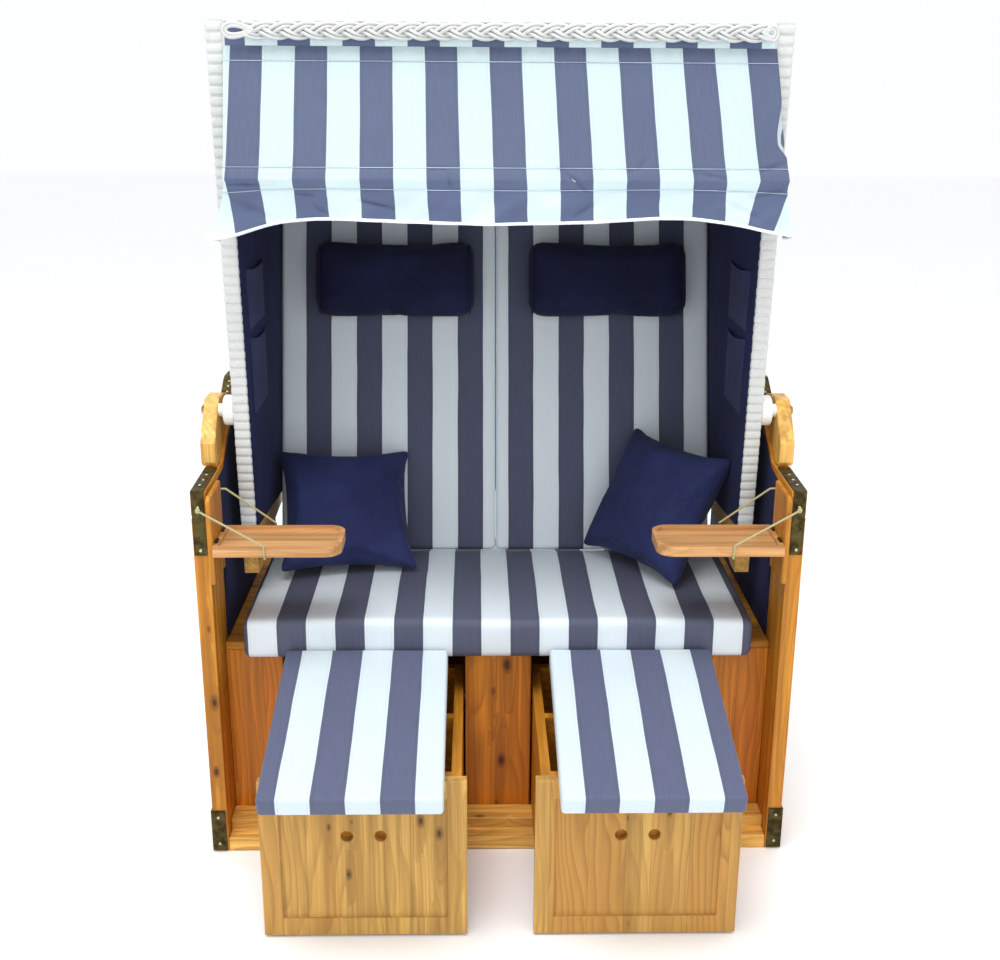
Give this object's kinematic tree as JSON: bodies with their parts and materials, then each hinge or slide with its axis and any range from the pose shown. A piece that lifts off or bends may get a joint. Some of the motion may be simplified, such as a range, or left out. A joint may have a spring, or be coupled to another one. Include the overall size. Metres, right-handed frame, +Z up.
{
  "type": "hooded beach chair",
  "caption": "Wooden two-seat beach chair with a tilting woven hood, awning on a bow, fold-down trays, pull-out footrests and striped cushions.",
  "frame": {"origin": "middle of the footprint box at floor level, with both footrests pulled out", "axes": "+Z up, -Y towards the sitter's feet and the pulled-out footrests, +X to the right seen from the front"},
  "size_m": [1.1742, 1.2083, 1.596],
  "materials": {
    "honey_pine": "satin",
    "light_pine": "satin",
    "tray_wood": "satin",
    "white_wicker": "satin",
    "navy_fabric": "matte",
    "striped_fabric": "matte",
    "bronze_metal": "satin",
    "copper_bolt": "satin",
    "steel_bow": "satin",
    "white_plastic": "satin",
    "tray_cord": "matte"
  },
  "bodies": {
    "base": {"left_front_stile": "honey_pine", "left_rear_stile": "honey_pine", "left_bottom_rail": "honey_pine", "left_arm_rail": "honey_pine", "left_side_infill": "white_wicker", "left_side_lining": "navy_fabric", "left_arm_strap": "bronze_metal", "left_ridge_strap": "bronze_metal", "left_foot_strap": "bronze_metal", "left_end_panel": "honey_pine", "left_pivot_block": "honey_pine", "left_pivot_bolt": "copper_bolt", "left_pivot_disc": "white_plastic", "left_tray_mount": "honey_pine", "left_tray_cord": "tray_cord", "right_front_stile": "honey_pine", "right_rear_stile": "honey_pine", "right_bottom_rail": "honey_pine", "right_arm_rail": "honey_pine", "right_side_infill": "white_wicker", "right_side_lining": "navy_fabric", "right_arm_strap": "bronze_metal", "right_ridge_strap": "bronze_metal", "right_foot_strap": "bronze_metal", "right_end_panel": "honey_pine", "right_pivot_block": "honey_pine", "right_pivot_bolt": "copper_bolt", "right_pivot_disc": "white_plastic", "right_tray_mount": "honey_pine", "right_tray_cord": "tray_cord", "base_sill": "honey_pine", "base_centre_panel": "honey_pine", "base_rear_panel": "honey_pine", "seat_board": "honey_pine", "seat_cushion": "striped_fabric"},
    "hood": {"hood_shell": "white_wicker", "back_board": "honey_pine", "top_braid": "white_wicker", "left_hood_side": "white_wicker", "left_hood_foot_rail": "honey_pine", "left_hood_lining": "navy_fabric", "left_back_cushion": "striped_fabric", "left_head_cushion": "navy_fabric", "left_throw_pillow": "navy_fabric", "right_hood_side": "white_wicker", "right_hood_foot_rail": "honey_pine", "right_hood_lining": "navy_fabric", "right_back_cushion": "striped_fabric", "right_head_cushion": "navy_fabric", "right_throw_pillow": "navy_fabric"},
    "awning_frame": {"awning_bow": "steel_bow", "awning": "striped_fabric"},
    "left_tray_leaf": {"left_tray": "tray_wood"},
    "right_tray_leaf": {"right_tray": "tray_wood"},
    "left_footrest": {"left_footrest_front": "light_pine", "left_footrest_frame": "light_pine", "left_footrest_pad": "striped_fabric"},
    "right_footrest": {"right_footrest_front": "light_pine", "right_footrest_frame": "light_pine", "right_footrest_pad": "striped_fabric"}
  },
  "joints": [
    {"name": "hood_recline", "type": "hinge", "parent": "base", "child": "hood", "pos_m": [0, -0.04427, 0.873], "axis": [-1, 0, 0], "range_deg": [0, 17], "deforming": ["left_back_cushion", "right_back_cushion", "left_throw_pillow", "right_throw_pillow"]},
    {"name": "awning_tilt", "type": "hinge", "parent": "hood", "child": "awning_frame", "pos_m": [0, -0.07927, 1.33], "axis": [-1, 0, 0], "range_deg": [0, 60], "deforming": ["awning"]},
    {"name": "left_tray_fold", "type": "hinge", "parent": "base", "child": "left_tray_leaf", "pos_m": [-0.5354, -0.20177, 0.665], "axis": [0, -1, 0], "range_deg": [0, 90], "deforming": ["left_tray_cord"]},
    {"name": "right_tray_fold", "type": "hinge", "parent": "base", "child": "right_tray_leaf", "pos_m": [0.5354, -0.20177, 0.665], "axis": [0, 1, 0], "range_deg": [0, 90], "deforming": ["right_tray_cord"]},
    {"name": "left_footrest_slide", "type": "slide", "parent": "base", "child": "left_footrest", "axis": [0, 1, 0], "range_m": [0, 0.25], "deforming": ["left_footrest_pad"]},
    {"name": "right_footrest_slide", "type": "slide", "parent": "base", "child": "right_footrest", "axis": [0, 1, 0], "range_m": [0, 0.25], "deforming": ["right_footrest_pad"]}
  ]
}
